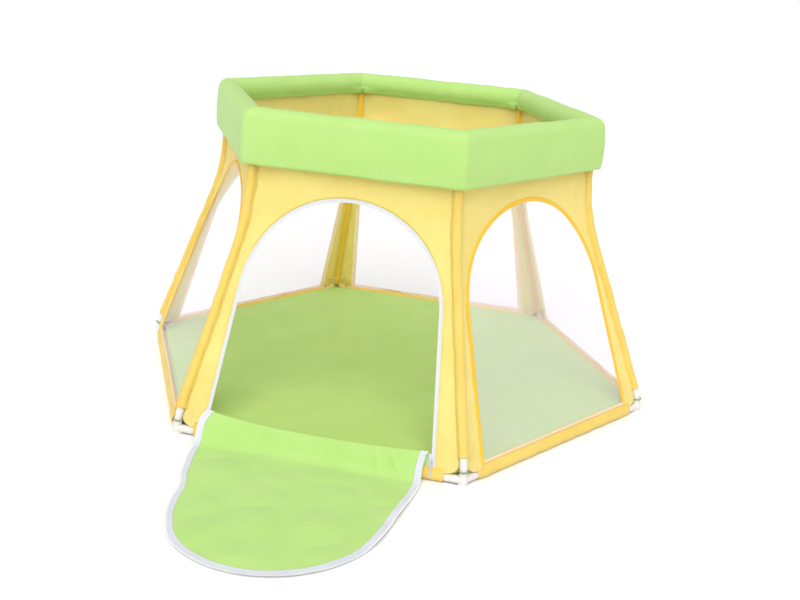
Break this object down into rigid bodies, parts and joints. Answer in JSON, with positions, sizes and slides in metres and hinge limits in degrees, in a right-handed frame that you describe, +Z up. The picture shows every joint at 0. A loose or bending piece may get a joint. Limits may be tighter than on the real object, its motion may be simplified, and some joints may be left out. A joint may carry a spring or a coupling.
{
  "type": "travel play yard",
  "caption": "Six-sided travel play yard with a flared tube frame, padded top rim, cloth walls with arched mesh windows, a floor mat and a zip-down arched doorway.",
  "frame": {"origin": "centre of the six-sided base, on the floor under the mat", "axes": "+Z up, the doorway and its opened door towards -Y, +X to the right seen from the doorway"},
  "size_m": [1.28, 1.5684, 0.6914],
  "materials": {
    "corner_plastic": "moulded, satin",
    "tube_steel": "powder coated",
    "yellow_cloth": "plain woven polyester",
    "yellow_binding": "folded tape",
    "white_mesh": "knitted net",
    "green_cloth": "plain woven polyester",
    "green_elastic": "braided",
    "zip_tape": "coil zip on woven tape",
    "zip_metal": "polished",
    "soft_foam": "foamed"
  },
  "bodies": {
    "yard": {"foot_front_right": "corner_plastic", "top_corner_front_right": "corner_plastic", "post_front_right": "tube_steel", "foot_right": "corner_plastic", "top_corner_right": "corner_plastic", "post_right": "tube_steel", "foot_back_right": "corner_plastic", "top_corner_back_right": "corner_plastic", "post_back_right": "tube_steel", "foot_back_left": "corner_plastic", "top_corner_back_left": "corner_plastic", "post_back_left": "tube_steel", "foot_left": "corner_plastic", "top_corner_left": "corner_plastic", "post_left": "tube_steel", "foot_front_left": "corner_plastic", "top_corner_front_left": "corner_plastic", "post_front_left": "tube_steel", "bottom_rail_front": "tube_steel", "top_rail_front": "tube_steel", "bottom_rail_right_front": "tube_steel", "top_rail_right_front": "tube_steel", "bottom_rail_right_back": "tube_steel", "top_rail_right_back": "tube_steel", "bottom_rail_back": "tube_steel", "top_rail_back": "tube_steel", "bottom_rail_left_back": "tube_steel", "top_rail_left_back": "tube_steel", "bottom_rail_left_front": "tube_steel", "top_rail_left_front": "tube_steel", "front_panel": "yellow_cloth", "panel_right_front": "yellow_cloth", "mesh_right_front": "white_mesh", "panel_right_back": "yellow_cloth", "mesh_right_back": "white_mesh", "panel_back": "yellow_cloth", "mesh_back": "white_mesh", "panel_left_back": "yellow_cloth", "mesh_left_back": "white_mesh", "panel_left_front": "yellow_cloth", "mesh_left_front": "white_mesh", "window_bindings": "yellow_binding", "post_sleeves": "yellow_cloth", "bottom_hems": "yellow_cloth", "arch_zip": "zip_tape", "door_sill": "green_cloth", "rail_padding": "soft_foam", "band_padding": "soft_foam", "top_cover": "green_cloth", "mat_foam": "soft_foam", "mat_cover": "green_cloth", "mat_ties": "green_elastic"},
    "lower_door": {"door_lower": "green_cloth", "door_zip_lower": "zip_tape"},
    "upper_door": {"door_main": "green_cloth", "door_zip_main": "zip_tape"},
    "slider": {"zip_slider": "zip_metal"},
    "pull": {"zip_pull": "zip_metal"}
  },
  "joints": [
    {"name": "door_fold", "type": "hinge", "parent": "yard", "child": "lower_door", "pos_m": [0, -0.53953, 0.048], "axis": [-1, 0, 0], "range_deg": [0, 159.28]},
    {"name": "door_roll", "type": "hinge", "parent": "lower_door", "child": "upper_door", "pos_m": [0, -0.56845, 0.01353], "axis": [-1, 0, 0], "range_deg": [-50.65, 0]},
    {"name": "zip_slide", "type": "slide", "parent": "yard", "child": "slider", "axis": [-0.0987, 0.3287, 0.9393], "range_m": [0, 0.27]},
    {"name": "pull_swing", "type": "hinge", "parent": "slider", "child": "pull", "pos_m": [0.24596, -0.54688, 0.03787], "axis": [-0.9951, -0.0326, -0.0932], "range_deg": [0, 120]}
  ],
  "couplings": [
    {"joint": "door_roll", "follows": "door_fold", "ratio": -0.31767}
  ]
}
